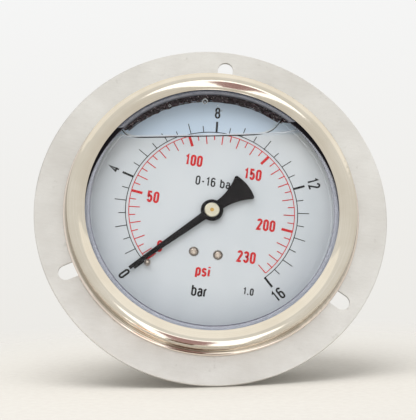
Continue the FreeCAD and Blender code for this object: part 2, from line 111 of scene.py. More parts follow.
class Finish:
    """A node material, patterned in the object's own coordinates, in millimetres."""

    def __init__(self, name):
        self.mat = bpy.data.materials.new(name)
        self.mat.use_nodes = True
        self.tree = self.mat.node_tree
        self.tree.nodes.clear()
        self.out = self.node("ShaderNodeOutputMaterial")
        place = self.node("ShaderNodeTexCoord").outputs["Object"]
        self.place = self.vector("SCALE", place, Scale=1 / MM)

    def node(self, kind, settings=None, **inputs):
        made = self.tree.nodes.new(kind)
        for key, value in (settings or {}).items():
            setattr(made, key, value)
        for key, value in inputs.items():
            self.put(made.inputs[key.replace("_", " ")], value)
        return made

    def put(self, socket, value):
        if isinstance(value, bpy.types.NodeSocket):
            self.tree.links.new(value, socket)
        else:
            socket.default_value = value

    def vector(self, operation, a, b=None, **inputs):
        made = self.node("ShaderNodeVectorMath", {"operation": operation}, **inputs)
        self.put(made.inputs[0], a)
        if b is not None:
            self.put(made.inputs[1], b)
        return made.outputs["Value" if operation in ("LENGTH", "DOT_PRODUCT") else "Vector"]

    def maths(self, operation, a, b=0.0):
        made = self.node("ShaderNodeMath", {"operation": operation})
        self.put(made.inputs[0], a)
        self.put(made.inputs[1], b)
        return made.outputs[0]

    def radius(self):
        """Distance from the dial's axis."""
        return self.vector("LENGTH", self.vector("MULTIPLY", self.place, (1, 0, 1)))

    def blend(self, share, first, second):
        """The material's surface, from the first shader at a share of 0 to the second at 1."""
        made = self.node("ShaderNodeMixShader", Fac=share)
        self.tree.links.new(first.outputs[0], made.inputs[1])
        self.tree.links.new(second.outputs[0], made.inputs[2])
        self.tree.links.new(made.outputs[0], self.out.inputs["Surface"])
        return self.mat

    def noise(self, scale, detail=3.0, stretch=(1, 1, 1), place=None, rough=0.55):
        where = self.vector("MULTIPLY", place or self.place, tuple(scale * s for s in stretch))
        return self.node("ShaderNodeTexNoise", Vector=where, Scale=1.0, Detail=detail,
                         Roughness=rough).outputs["Fac"]

    def turned(self, centre=(0, 0, 0), axis="Y"):
        """Coordinates that change only along a turned surface's profile, not round it."""
        moved = self.vector("SUBTRACT", self.place, centre)
        parts = self.node("ShaderNodeSeparateXYZ", Vector=moved)
        flat = {"Y": (1, 0, 1), "Z": (1, 1, 0), "X": (0, 1, 1)}[axis]
        radius = self.vector("LENGTH", self.vector("MULTIPLY", moved, flat))
        return self.node("ShaderNodeCombineXYZ", X=radius, Y=parts.outputs[axis]).outputs[0]

    def span(self, value, start, end, to_start=0.0, to_end=1.0):
        made = self.node("ShaderNodeMapRange", Value=value)
        for key, number in (("From Min", start), ("From Max", end), ("To Min", to_start),
                            ("To Max", to_end)):
            self.put(made.inputs[key], number)
        return made.outputs["Result"]

    def mix(self, share, a, b):
        made = self.node("ShaderNodeMix", {"data_type": "RGBA"})
        self.put(made.inputs[0], share)
        self.put(made.inputs[6], a)
        self.put(made.inputs[7], b)
        return made.outputs[2]

    def bump(self, height, strength, distance=0.1, onto=None):
        made = self.node("ShaderNodeBump", Strength=strength, Distance=distance * MM,
                         Height=height)
        if onto is not None:
            self.put(made.inputs["Normal"], onto)
        return made.outputs["Normal"]

    def surface(self, **inputs):
        shader = self.node("ShaderNodeBsdfPrincipled")
        for key, value in inputs.items():
            self.put(shader.inputs[key.replace("_", " ")], value)
        self.tree.links.new(shader.outputs[0], self.out.inputs["Surface"])
        return self.mat


def sheet_metal(name, light, dark, rough, grain=0.5, streak=(1, 1, 1), relief=0.15, spots=None):
    """Rolled or pickled sheet: a fine grain, clouded patches and a few rubbed marks."""
    f = Finish(name)
    fine = f.noise(3.0, 4.0, streak)
    cloud = f.noise(0.045, 4.0)
    colour = f.mix(f.span(cloud, 0.35, 0.68), light, dark)
    colour = f.mix(f.span(fine, 0.3, 0.75, 0.0, grain), colour, dark)
    if spots:
        marks = f.noise(0.16, 5.0, rough=0.7)
        colour = f.mix(f.span(marks, 0.64, 0.74, 0.0, 0.6), colour, spots)
    rub = f.span(f.noise(0.35, 5.0, (1, 1, 4)), 0.3, 0.7, rough - 0.06, rough + 0.1)
    return f.surface(Base_Color=colour, Metallic=1.0, Roughness=rub,
                     Normal=f.bump(fine, relief, 0.05))


def turned_metal(name, light, dark, rough, centre=(0, 0, 0), axis="Y", pitch=6.0, relief=0.2,
                 haze=0.12):
    """Lathe-turned metal: tool marks round the axis, with a light haze of handling."""
    f = Finish(name)
    cut = f.noise(pitch, 5.0, place=f.turned(centre, axis), rough=0.7)
    cloud = f.noise(0.12, 4.0)
    colour = f.mix(f.span(cut, 0.32, 0.7, 0.0, 0.8), light, dark)
    colour = f.mix(f.span(cloud, 0.5, 0.75, 0.0, haze * 2), colour, dark)
    rub = f.maths("ADD", f.span(cut, 0.3, 0.7, rough * 0.75, rough * 1.2),
                  f.span(cloud, 0.45, 0.75, 0.0, haze))
    return f.surface(Base_Color=colour, Metallic=1.0, Roughness=rub,
                     Normal=f.bump(cut, relief, 0.03))


def rubber(name, light, dark, rough=0.6, scale=2.5):
    """Moulded rubber with a fine skin, flow lines and a little bloom."""
    f = Finish(name)
    skin = f.noise(scale, 5.0, rough=0.7)
    bloom = f.noise(0.25, 3.0)
    colour = f.mix(f.span(skin, 0.35, 0.7), dark, light)
    colour = f.mix(f.span(bloom, 0.55, 0.75, 0.0, 0.5), colour, light)
    return f.surface(Base_Color=colour, Roughness=f.span(skin, 0.3, 0.7, rough - 0.1, rough + 0.15),
                     Specular_IOR_Level=0.4, Normal=f.bump(skin, 0.35, 0.1))


def gasket_rubber(name):
    """Black rubber, wet and mirror-like where it is out of the liquid, and painted a lighter
    blue-grey there as a painted reflection.
    """
    f = Finish(name)
    skin = f.noise(1.4, 5.0, rough=0.7)
    dry = f.span(f.vector("DOT_PRODUCT", f.place, UP), LEVEL + 1.5, LEVEL + 2.5)
    # Painted reflection: above the liquid the colour is painted blue-grey for the sheen the rubber
    # mirrors.
    sheen = f.mix(f.span(skin, 0.35, 0.65), srgb(88, 102, 128), srgb(52, 54, 68))
    colour = f.mix(dry, f.mix(f.span(skin, 0.35, 0.7), srgb(16, 12, 16), srgb(34, 28, 34)), sheen)
    return f.surface(Base_Color=colour, Roughness=f.span(dry, 0.0, 1.0, 0.6, 0.14),
                     Specular_IOR_Level=0.4, Normal=f.bump(skin, 0.2, 0.1))


def coated(name, light, dark, rough, scale=1.2, relief=0.12, specular=0.5, coat=0.0):
    """Lacquer, enamel or ink: an even colour with a faint orange peel and fine dust."""
    f = Finish(name)
    peel = f.noise(scale, 3.0)
    cloud = f.noise(0.06, 3.0)
    colour = f.mix(f.span(cloud, 0.35, 0.7), light, dark)
    colour = f.mix(f.span(f.noise(4.0, 2.0), 0.62, 0.75, 0.0, 0.25), colour, dark)
    return f.surface(Base_Color=colour, Roughness=f.span(peel, 0.3, 0.7, rough - 0.05, rough + 0.08),
                     Specular_IOR_Level=specular, Coat_Weight=coat,
                     Normal=f.bump(peel, relief, 0.06))


def dial_enamel(name):
    """White enamelled sheet, with painted shade towards the edge of its lower half, painted light
    towards its top edge, and a painted bluer tint where it is dry.
    """
    f = Finish(name)
    radius = f.radius()
    height = f.node("ShaderNodeSeparateXYZ", Vector=f.place).outputs["Z"]
    # Painted shade towards the edge of the lower half, and painted light towards the top edge.
    edge = f.maths("MULTIPLY", f.span(radius, 30.0, 47.0), f.span(height, 30.0, -15.0, -0.6, 1.0))
    colour = f.mix(f.span(edge, -0.6, 1.0), srgb(219, 223, 229), srgb(184, 190, 201))
    cloud = f.noise(0.05, 3.0)
    colour = f.mix(f.span(cloud, 0.4, 0.7, 0.0, 0.3), colour, srgb(199, 205, 216))
    # Painted light: a bluer tint above the liquid, standing in for the light reflected in the air
    # bubble.
    dry = f.span(f.vector("DOT_PRODUCT", f.place, UP), LEVEL - 0.5, LEVEL + 2.0)
    colour = f.mix(f.maths("MULTIPLY", dry, 0.6), colour, srgb(178, 202, 228))
    colour = f.mix(f.span(f.noise(1.7, 2.0), 0.7, 0.78, 0.0, 0.25), colour, srgb(150, 150, 165))
    peel = f.noise(1.0, 3.0)
    return f.surface(Base_Color=colour, Roughness=f.span(peel, 0.3, 0.7, 0.42, 0.55),
                     Specular_IOR_Level=0.35, Normal=f.bump(peel, 0.08, 0.05))


def clear(name, light, dark, ior, mirror=0.0):
    """Glass or glycerine. Lamps and soft light pass straight through it to what is behind."""
    f = Finish(name)
    smear = f.noise(0.09, 4.0, (1, 1, 0.5))
    tint = f.mix(f.span(smear, 0.4, 0.75), light, dark)
    glass = f.node("ShaderNodeBsdfRefraction", Color=tint, Roughness=0.0, IOR=ior)
    if mirror:
        shine = f.node("ShaderNodeBsdfGlossy", Color=(1, 1, 1, 1), Roughness=0.0)
        share = f.maths("MULTIPLY", f.node("ShaderNodeFresnel", IOR=ior).outputs[0], mirror)
        pair = f.node("ShaderNodeMixShader", Fac=share)
        f.tree.links.new(glass.outputs[0], pair.inputs[1])
        f.tree.links.new(shine.outputs[0], pair.inputs[2])
        glass = pair
    through = f.node("ShaderNodeBsdfTransparent", Color=tint)
    path = f.node("ShaderNodeLightPath")
    share = f.maths("MAXIMUM", path.outputs["Is Shadow Ray"], path.outputs["Is Diffuse Ray"])
    return f.blend(share, glass, through)


def clear_plastic(name, light, dark, grime, shade):
    """Thin milky plastic with a dark line along its inner edge, strongest towards the bottom.
    Painted shade: it is painted dark where the black rubber behind it would show through, in a
    band beside the bubble and in a crescent from each end of the bubble downwards."""
    f = Finish(name)
    haze = f.mix(f.span(f.noise(0.5, 4.0), 0.35, 0.7), light, dark)
    radius = f.radius()
    height = f.node("ShaderNodeSeparateXYZ", Vector=f.place).outputs["Z"]
    # A dark line along the inner edge, strongest towards the bottom.
    dirt = f.maths("MULTIPLY", f.span(radius, WASHER_R + 0.1, WASHER_R + 0.42, 1.0, 0.0),
                   f.span(height, -WASHER_R * 0.85, WASHER_R * 0.4, 1.0, 0.3))
    milk = f.span(radius, WASHER_R + 0.6, WASHER_R + 1.7, 0.3, 0.06)
    # Painted shade: the dark rubber behind shows through as a band above the bubble's edge and a
    # crescent below each of its ends.
    slope = f.vector("DOT_PRODUCT", f.place, (-0.2, 0, 1))
    crescent = f.span(f.maths("ADD", radius, f.span(slope, 0.0, 33.0, 0.0, 2.0)), 47.15, 47.4)
    band = f.span(radius, WASHER_R + 0.2, WASHER_R + 1.7, 0.8, 0.1)
    rubber = f.span(slope, 33.4, 33.8, crescent, band)
    skin = f.node("ShaderNodeBsdfPrincipled", Roughness=0.35,
                  Base_Color=f.mix(rubber, f.mix(dirt, haze, grime), shade),
                  Specular_IOR_Level=f.span(rubber, 0.0, 1.0, 0.4, 0.05))
    through = f.node("ShaderNodeBsdfTransparent", Color=(0.93, 0.93, 0.96, 1))
    return f.blend(f.maths("MAXIMUM", rubber, f.maths("MAXIMUM", milk, dirt)), through, skin)


def polished_bezel(name, light, dark, bead, grime):
    """Polished sheet with faint turning marks, darker in its groove, a painted highlight on its rear
    bead, and a warm tint that is a painted reflection.
    """
    f = Finish(name)
    cut = f.noise(3.0, 5.0, place=f.turned(), rough=0.7)
    colour = f.mix(f.span(cut, 0.32, 0.7, 0.0, 0.7), light, dark)
    colour = f.mix(f.span(f.noise(0.05, 3.0), 0.42, 0.62, 0.0, 0.5), colour, dark)
    radius = f.radius()
    deep = f.node("ShaderNodeSeparateXYZ", Vector=f.place).outputs["Y"]
    # Painted highlight: the rear bead is painted brighter and pinker.
    colour = f.mix(f.span(radius, 54.3, 54.7), colour, bead)
    # Darker in the groove.
    groove = f.maths("ABSOLUTE", f.maths("SUBTRACT", deep, -3.1))
    colour = f.mix(f.span(groove, 0.12, 0.5, 0.8, 0.0), colour, grime)
    return f.surface(Base_Color=colour, Metallic=1.0,
                     Roughness=f.span(cut, 0.3, 0.7, 0.06, 0.12), Normal=f.bump(cut, 0.05, 0.03))


FINISHES = {
    "flange_steel": sheet_metal("flange_steel", srgb(230, 229, 226), srgb(215, 213, 209), 0.5,
                                0.4, (1, 1, 1), 0.12, srgb(190, 187, 181)),
    "case_steel": sheet_metal("case_steel", srgb(205, 203, 198), srgb(172, 169, 163), 0.3,
                              0.6, (0.25, 3.0, 0.25), 0.2, srgb(150, 146, 140)),
    # Painted reflection: the bezel's warm tint stands for the warm room it mirrors.
    "bezel_steel": polished_bezel("bezel_steel", srgb(230, 223, 210), srgb(211, 202, 186),
                                  srgb(238, 226, 216), srgb(118, 106, 92)),
    "window_glass": clear("window_glass", (0.99, 0.995, 0.995, 1), (0.975, 0.985, 0.985, 1), 1.52,
                          0.13),
    # The washer's last colour is painted shade, for the rubber showing through it.
    "washer_clear": clear_plastic("washer_clear", srgb(206, 208, 218), srgb(184, 188, 200),
                                  srgb(58, 56, 82), srgb(16, 13, 18)),
    "gasket_rubber": gasket_rubber("gasket_rubber"),
    "dial_white": dial_enamel("dial_white"),
    "screw_steel": turned_metal("screw_steel", srgb(232, 220, 210), srgb(190, 172, 160), 0.42,
                                pitch=5.0, relief=0.25),
    "plug_rubber": rubber("plug_rubber", srgb(46, 46, 48), srgb(24, 24, 26), 0.55, 1.8),
    "socket_steel": turned_metal("socket_steel", srgb(206, 202, 194), srgb(160, 155, 147), 0.24,
                                 (STEM.x, 0, STEM.z), pitch=4.0, relief=0.3),
    "seal_rubber": rubber("seal_rubber", srgb(40, 40, 42), srgb(20, 20, 22), 0.45, 2.5),
    "brass": turned_metal("brass", srgb(226, 190, 112), srgb(178, 132, 62), 0.22, pitch=9.0),
    "tube_steel": sheet_metal("tube_steel", srgb(196, 190, 178), srgb(158, 146, 128), 0.32,
                              0.5, (1, 4, 1), 0.2, srgb(150, 120, 84)),
    "movement_steel": sheet_metal("movement_steel", srgb(206, 203, 196), srgb(166, 162, 154),
                                  0.3, 0.6, (6, 1, 0.4), 0.3, srgb(140, 134, 126)),
    "spring_bronze": sheet_metal("spring_bronze", srgb(206, 150, 98), srgb(158, 104, 62), 0.28,
                                 0.5, (1, 5, 1), 0.15, srgb(110, 70, 44)),
    "pointer_black": coated("pointer_black", srgb(15, 7, 13), srgb(10, 4, 9), 0.5, 1.6, 0.2,
                            0.3),
    "hub_cream": turned_metal("hub_cream", srgb(234, 228, 210), srgb(208, 198, 176), 0.4,
                              pitch=5.0, relief=0.3, haze=0.05),
}
PRINT_BLACK = coated("print_black", srgb(10, 6, 14), srgb(7, 4, 10), 0.45, 2.0, 0.1)
PRINT_RED = coated("print_red", srgb(208, 0, 20), srgb(192, 0, 14), 0.45, 2.0, 0.1)
GLYCERINE = clear("glycerine", (0.995, 0.99, 0.98, 1), (0.98, 0.975, 0.965, 1), 1.47)
# Painted highlight: the meniscus is painted an opaque pale blue-white for the light it carries.
WET_LINE = coated("wet_line", srgb(212, 217, 226), srgb(178, 186, 200), 0.2, 0.8, 0.2)
BEADS = clear("beads", (0.98, 0.985, 0.99, 1), (0.96, 0.97, 0.98, 1), 1.47, 1.0)

# Each carried-over node gets the finish that its slot names.
for node in nodes.values():
    for place in node.material_slots:
        place.material = FINISHES[place.material.name.split(".")[0]]


# ---------------------------------------------------------------- mesh helpers
class Shell:
    """Gathers closed solids, in millimetres, into one mesh."""

    def __init__(self):
        self.points, self.faces = [], []

    def add(self, points, faces):
        first = len(self.points)
        self.points += [tuple(p) for p in points]
        self.faces += [tuple(first + i for i in face) for face in faces]

    def piece(self, name, finish, body, slot=None, angle=30.0):
        mesh = bpy.data.meshes.new(name)
        mesh.from_pydata([tuple(c * MM for c in p) for p in self.points], [], self.faces)
        mesh.validate()
        work = bmesh.new()
        work.from_mesh(mesh)
        bmesh.ops.recalc_face_normals(work, faces=work.faces)
        work.to_mesh(mesh)
        work.free()
        mesh.shade_smooth()
        mesh.set_sharp_from_angle(angle=math.radians(angle))
        mesh.materials.append(finish)
        made = bpy.data.objects.new(name, mesh)
        scene.collection.objects.link(made)
        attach(made, body)
        return made


def rings(loops, closed=False):
    """Faces between loops of equal length, with a cap on each end unless the tube is closed."""
    count, size = len(loops), len(loops[0])
    faces = [(i * size + j, i * size + (j + 1) % size,
              (i + 1) % count * size + (j + 1) % size, (i + 1) % count * size + j)
             for i in range(count if closed else count - 1) for j in range(size)]
    if not closed:
        faces += [tuple(range(size))[::-1], tuple(range((count - 1) * size, count * size))]
    return [p for loop in loops for p in loop], faces


# ---------------------------------------------------------------- printing on the dial
INK_FRONT, INK_BACK = DIAL_FRONT - 0.05, DIAL_FRONT + 0.03
LIFT = 0.008                               # between printed strokes that cross


def ribbon(shell, path, width, closed=False, lift=0.0):
    """A printed stroke along a path of (x, z) points, lifted clear of a stroke that it crosses."""
    loops, count = [], len(path)
    for i, (x, z) in enumerate(path):
        ways = []
        for a, b in ((i - 1, i), (i, i + 1)):
            if closed or 0 <= a and b < count:
                (ax, az), (bx, bz) = path[a % count], path[b % count]
                size = math.hypot(bx - ax, bz - az)
                ways.append((-(bz - az) / size, (bx - ax) / size))
        nx, nz = sum(w[0] for w in ways), sum(w[1] for w in ways)
        size = math.hypot(nx, nz)
        nx, nz = nx / size, nz / size
        reach = width / 2 / max(nx * ways[0][0] + nz * ways[0][1], 0.55)
        left, right = (x + nx * reach, z + nz * reach), (x - nx * reach, z - nz * reach)
        front = INK_FRONT - lift
        loops.append([(left[0], front, left[1]), (left[0], INK_BACK, left[1]),
                      (right[0], INK_BACK, right[1]), (right[0], front, right[1])])
    shell.add(*rings(loops, closed))


def on_dial(radius, clock):
    """The (x, z) of a place on the dial."""
    a = math.radians(clock)
    return radius * math.sin(a), radius * math.cos(a)


def arc_line(shell, radius, start, end, width):
    """The thin line that a scale's marks stand on."""
    steps = int(abs(end - start) / 1.5)
    ribbon(shell, [on_dial(radius, start + (end - start) * i / steps) for i in range(steps + 1)],
           width)


def tick(shell, start, end, clock, width):
    """A radial mark from one radius to another."""
    ribbon(shell, [on_dial(start, clock), on_dial(end, clock)], width, lift=LIFT)


def curve(x, z, start, end, rx=0.5, rz=0.21, steps=12):
    """Points along part of an ellipse, in degrees anticlockwise from the right."""
    return [(x + rx * math.cos(math.radians(start + (end - start) * i / steps)),
             z + rz * math.sin(math.radians(start + (end - start) * i / steps)))
            for i in range(steps + 1)]


# Each character: its width beside a numeral's, and its strokes' centre lines as (closed, points)
# in a box one unit wide and one unit high.
BOWL = (True, curve(0.5, 0.51, 180, 0) + curve(0.5, 0.21, 0, -180))
CHARACTERS = {
    "0": (1.0, [(True, curve(0.5, 0.79, 180, 0) + curve(0.5, 0.21, 0, -180))]),
    "1": (0.72, [(False, [(0.05, 0.8), (0.7, 1.0), (0.7, 0.0)])]),
    "2": (1.0, [(False, curve(0.5, 0.79, 170, -30) + [(0.02, 0.0), (1.0, 0.0)])]),
    "3": (1.0, [(False, curve(0.48, 0.775, 165, -85, 0.48, 0.225)
                 + curve(0.48, 0.27, 85, -165, 0.52, 0.27))]),
    "4": (1.0, [(False, [(0.72, 0.0), (0.72, 1.0), (0.0, 0.25), (1.0, 0.25)])]),
    "5": (1.0, [(False, [(0.95, 1.0), (0.1, 1.0), (0.06, 0.53)]
                 + curve(0.5, 0.31, 140, -160, 0.5, 0.31))]),
    "6": (1.0, [(True, curve(0.5, 0.4, 180, 0) + curve(0.5, 0.21, 0, -180)),
                (False, [(0.0, 0.35)] + curve(0.5, 0.79, 180, 20))]),
    "8": (1.0, [(True, curve(0.5, 0.79, 180, 0, 0.45) + curve(0.5, 0.74, 0, -180, 0.45)),
                (True, curve(0.5, 0.32, 180, 0) + curve(0.5, 0.21, 0, -180))]),
    "b": (1.0, [(False, [(0.0, 1.0), (0.0, 0.0)]), BOWL]),
    "p": (1.0, [(False, [(0.0, 0.72), (0.0, -0.26)]), BOWL]),
    "a": (0.95, [(False, curve(0.5, 0.51, 155, 0) + [(1.0, 0.0)]),
                 (False, [(1.0, 0.42), (0.42, 0.42)] + curve(0.42, 0.21, 90, 270, 0.42)
                  + [(1.0, 0.08)])]),
    "r": (0.7, [(False, [(0.0, 0.72), (0.0, 0.0)]), (False, curve(0.62, 0.48, 180, 75, 0.62, 0.24))]),
    "s": (0.95, [(False, curve(0.5, 0.545, 20, 270, 0.48, 0.175)
                  + curve(0.5, 0.185, 90, -160, 0.5, 0.185))]),
    "i": (0.2, [(False, [(0.5, 0.72), (0.5, 0.0)]), (False, [(0.5, 1.02), (0.5, 0.88)])]),
    "-": (0.7, [(False, [(0.1, 0.42), (0.9, 0.42)])]),
    ".": (0.15, [(False, [(0.5, -0.06), (0.5, 0.14)])]),
    " ": (0.35, []),
}


def lettering(shell, text, height, width, stroke, centre, turn=0.0, gap=0.7):
    """A word of upright strokes: height and width are a numeral's, centre is the word's."""
    line = [(CHARACTERS[c][0] * (width - stroke), CHARACTERS[c][1]) for c in text]
    total = sum(w for w, _ in line) + gap * (len(line) - 1) + stroke * (len(line) - 1)
    t = math.radians(turn)
    along = -total / 2
    for wide, strokes in line:
        for layer, (closed, points) in enumerate(strokes):
            path = []
            for x, z in points:
                u, v = along + x * wide, (z - 0.5) * (height - stroke)
                spot = (centre[0] + u * math.cos(t) + v * math.sin(t),
                        centre[1] - u * math.sin(t) + v * math.cos(t))
                if not path or math.dist(path[-1], spot) > 1e-4:
                    path.append(spot)
            if closed and math.dist(path[0], path[-1]) < 1e-4:
                path.pop()
            ribbon(shell, path, stroke, closed, LIFT * layer)
        along += wide + gap + stroke


FULL, SPAN = 16.0, 17.42                   # bar at the last mark, degrees to a bar
ZERO, LAST = -136.4, 135.0                 # clock angles of the first and last marks
PSI = 0.0689476                            # bar
BAR_LINE, PSI_LINE = 32.1, 30.9            # radii of the two scales' arcs
THIN, ZERO_THICK = 0.3, 0.85               # widths of the bar scale's lines


def bar_clock(bar):
    """The marks are evenly spread, but for zero, which stands a little nearer to them."""
    return LAST - (FULL - bar) * SPAN if bar > 0 else ZERO


black, red = Shell(), Shell()
arc_line(black, BAR_LINE, ZERO + 2.9, LAST + 0.4, THIN)
arc_line(red, PSI_LINE, ZERO + 3.4, bar_clock(230 * PSI), THIN)
for half in range(2, 33):
    bar = half / 2
    if half % 8 == 0:
        tick(black, BAR_LINE - 0.15, 36.5, bar_clock(bar), 0.8)
    else:
        tick(black, BAR_LINE, 36.4 if half % 2 == 0 else 34.7, bar_clock(bar), THIN)
tick(black, BAR_LINE - 0.15, 36.5, ZERO, ZERO_THICK)
for psi in range(10, 231, 5):
    if psi % 50 == 0:
        tick(red, PSI_LINE + 0.15, 26.7, bar_clock(psi * PSI), 1.0)
    else:
        tick(red, PSI_LINE, 26.8 if psi % 10 == 0 else 28.5, bar_clock(psi * PSI), 0.36)
tick(red, PSI_LINE + 0.15, 26.7, ZERO, 1.0)
# The bar numerals stand round the dial, the last of them turned over to be read from below.
lettering(black, "0", 4.6, 2.1, 0.72, on_dial(40.7, -135.6), -135.6)
for bar, turn in ((4, 0), (8, 0), (12, 0), (16, 180)):
    clock = bar_clock(bar)
    lettering(black, str(bar), 4.6, 2.1, 0.68, on_dial(40.1, clock), clock + turn, 0.45)
# The psi numerals stand upright inside their scale.
for psi, at in ((0, (-17.2, -16.6)), (50, (-22.4, 2.05)), (100, (-9.4, 18.9)),
                (150, (13.3, 16.8)), (200, (20.65, -2.45)), (230, (14.96, -15.9))):
    lettering(red, str(psi), 4.6, 2.12, 0.84, at, 0.0, 0.3)
lettering(red, "psi", 4.4, 2.0, 0.8, (-0.1, -23.6), 0.0, 0.25)
lettering(black, "bar", 4.4, 1.95, 0.68, (-0.3, -31.4), 0.0, 0.3)
lettering(black, "1.0", 2.8, 1.4, 0.5, (17.4, -28.9), 0.0, 0.35)
lettering(black, "0-16 bar", 3.7, 1.75, 0.54, (-0.2, 11.3), 0.0, 0.4)
black.piece("dial_print_black", PRINT_BLACK, "gauge")
red.piece("dial_print_red", PRINT_RED, "gauge")


# ---------------------------------------------------------------- glycerine, with its air bubble
def drawn_up(x, side):
    """How far the liquid climbs this near the wall: more on the right than on the left."""
    climb, reach = (9.0, 2.5) if x > 0 else (6.0, 2.2)
    return climb * math.exp(-max(side, 0) / reach)


def surface_height(x, y, side):
    """Height of the liquid at (x, y): level, and drawn up where it meets glass, dial and wall."""
    front, back = y - FILL_FRONT, DIAL_FRONT - y
    creep = 1.2 * math.exp(-max(front, 0) / 0.7) + 0.8 * math.exp(-max(back, 0) / 0.6)
    creep += drawn_up(x, side)
    return (LEVEL - UP.x * x - UP.y * y) / UP.z + creep


def filling():
    """The body of the liquid: round, with a level top that curves up at its edges."""
    # Steps in depth, closer where the liquid climbs the glass and the dial.
    deep = [0, 0.08, 0.18, 0.3, 0.45, 0.65, 0.9, 1.2, 1.6, 2.0, 2.35, 2.6, 2.8, 2.95, 3.08,
            3.18, DIAL_FRONT - FILL_FRONT - 0.02, FILL_BACK - FILL_FRONT]
    around, across = 220, 90
    loops = []
    for d in deep:
        y = FILL_FRONT + d
        ends = []
        for way in (1, -1):
            a, b = 0.0, 90.0               # clock angle where the surface meets the wall
            for _ in range(30):
                m = (a + b) / 2
                x, z = on_dial(FILL_R, m * way)
                a, b = (m, b) if z > surface_height(x, y, 0) else (a, m)
            ends.append((a + b) / 2)
        right, left = ends
        loop = [on_dial(FILL_R, right + (360 - left - right) * i / around)
                for i in range(around + 1)]
        (x0, _), (x1, _) = loop[-1], loop[0]
        for i in range(1, across):
            x = x0 + (x1 - x0) * (0.5 - 0.5 * math.cos(math.pi * i / across))
            loop.append((x, surface_height(x, y, min(x - x0, x1 - x))))
        loops.append([(x, y, z) for x, z in loop])
    shell = Shell()
    shell.add(*rings(loops))
    return shell.piece("filling", GLYCERINE, "gauge", angle=50.0)


filling()


def meniscus():
    """The bead of liquid along the inside of the glass, drawn up at both of its ends, painted pale
    blue-white as a painted highlight.
    """
    shell, chance, steps = Shell(), random.Random(5), 150
    left, right = (next(x for x in (way * i / 20 for i in range(960))
                        if surface_height(x, FILL_FRONT, 99) > math.sqrt(FILL_R ** 2 - x * x))
                   for way in (-1, 1))
    loops = []
    for i in range(2, steps - 1):
        x = left + (right - left) * i / steps
        z = surface_height(x, FILL_FRONT, min(x - left, right - x))
        thick = 0.24 + 0.06 * chance.random()
        if math.hypot(x, z) > GASKET_R + 0.3:
            continue
        loops.append([(x, FILL_FRONT + 0.3 * (0.5 - 0.5 * math.cos(t)), z + thick * math.sin(t))
                      for t in (2 * math.pi * j / 10 for j in range(10))])
    shell.add(*rings(loops))
    return shell.piece("meniscus", WET_LINE, "gauge", angle=60.0)


meniscus()


def droplets():
    """Beads of glycerine left on the inside of the glass and on the dial over the liquid."""
    chance = random.Random(7)
    shell = Shell()
    spots = [(-8.5, 42.6, 1.15), (-21.5, 38.6, 0.55), (19.5, 37.4, 0.5)]       # x, z, size
    large = len(spots)                     # these hang on the glass
    for _ in range(34):
        r, clock = chance.uniform(31.5, 45.0), chance.uniform(-44, 40)
        spots.append((*on_dial(r, clock), chance.choice((0.12, 0.16, 0.22, 0.3))))
    for k, (x, z, size) in enumerate(spots):
        on_glass = k < large or k % 3
        wall, way = (GLASS_BACK + 0.03, 1) if on_glass else (DIAL_FRONT - 0.02, -1)
        if z < surface_height(x, wall, 10) + size + 0.3:
            continue                       # under the liquid, or too near it
        loops = []
        for i in range(7):
            a = math.pi / 2 * i / 6.5
            loops.append([(x + size * math.cos(a) * math.cos(t) * 0.9,
                           wall + way * size * 0.6 * math.sin(a),
                           z + size * math.cos(a) * math.sin(t)
                           - 0.2 * size * (1 - math.cos(a)))
                          for t in (2 * math.pi * j / 20 for j in range(20))])
        shell.add(*rings(loops))
    return shell.piece("droplets", BEADS, "gauge")


droplets()


def clinging_film():
    """Glycerine that clings round the top of the dial's rim in the air bubble, painted dark as a
    painted reflection of the rubber it mirrors, with pale flecks as painted highlights."""
    shell, around, across = Shell(), 150, 9
    chance = random.Random(3)
    start, end = -56.0, 32.5               # clock angles
    bumps = [(chance.uniform(start, end), chance.uniform(0.5, 1.3), chance.uniform(0.1, 0.45))
             for _ in range(70)]
    rear = DIAL_FRONT - 0.15
    loops = []
    for i in range(around + 1):
        clock = start + (end - start) * i / around
        fade = min(1.0, (i + 2) / 9, (around - i + 2) / 9)
        swell = sum(h * math.exp(-((clock - c) / w) ** 2) for c, w, h in bumps)
        wide, tall = (2.9 + 0.3 * swell) * fade, (1.5 + 0.8 * swell) * fade
        loop = [(GASKET_R + 0.3, rear), (GASKET_R + 0.3, rear - tall)]
        for j in range(across + 1):
            a = math.pi / 2 * j / across
            loop.append((GASKET_R - wide * (1 - math.cos(a)) ** 0.8,
                         rear - tall * (1 - math.sin(a)) ** 0.9))
        loops.append([(x, y, z) for (x, z), y in ((on_dial(r, clock), y) for r, y in loop)])
    shell.add(*rings(loops))
    f = Finish("wet_film")
    grain = f.noise(1.1, 5.0, rough=0.7)
    # Painted reflection: dark browns for the rubber mirrored in the film.
    colour = f.mix(f.span(grain, 0.5, 0.62), srgb(34, 18, 24), srgb(74, 56, 64))
    # Painted highlights: pale flecks.
    colour = f.mix(f.span(f.noise(1.9, 3.0), 0.62, 0.66), colour, srgb(205, 185, 188))
    f.surface(Base_Color=colour, Roughness=f.span(grain, 0.3, 0.7, 0.08, 0.25),
              Specular_IOR_Level=0.35, Normal=f.bump(grain, 0.9, 0.6))
    return shell.piece("clinging_film", f.mat, "gauge", angle=60.0)


clinging_film()


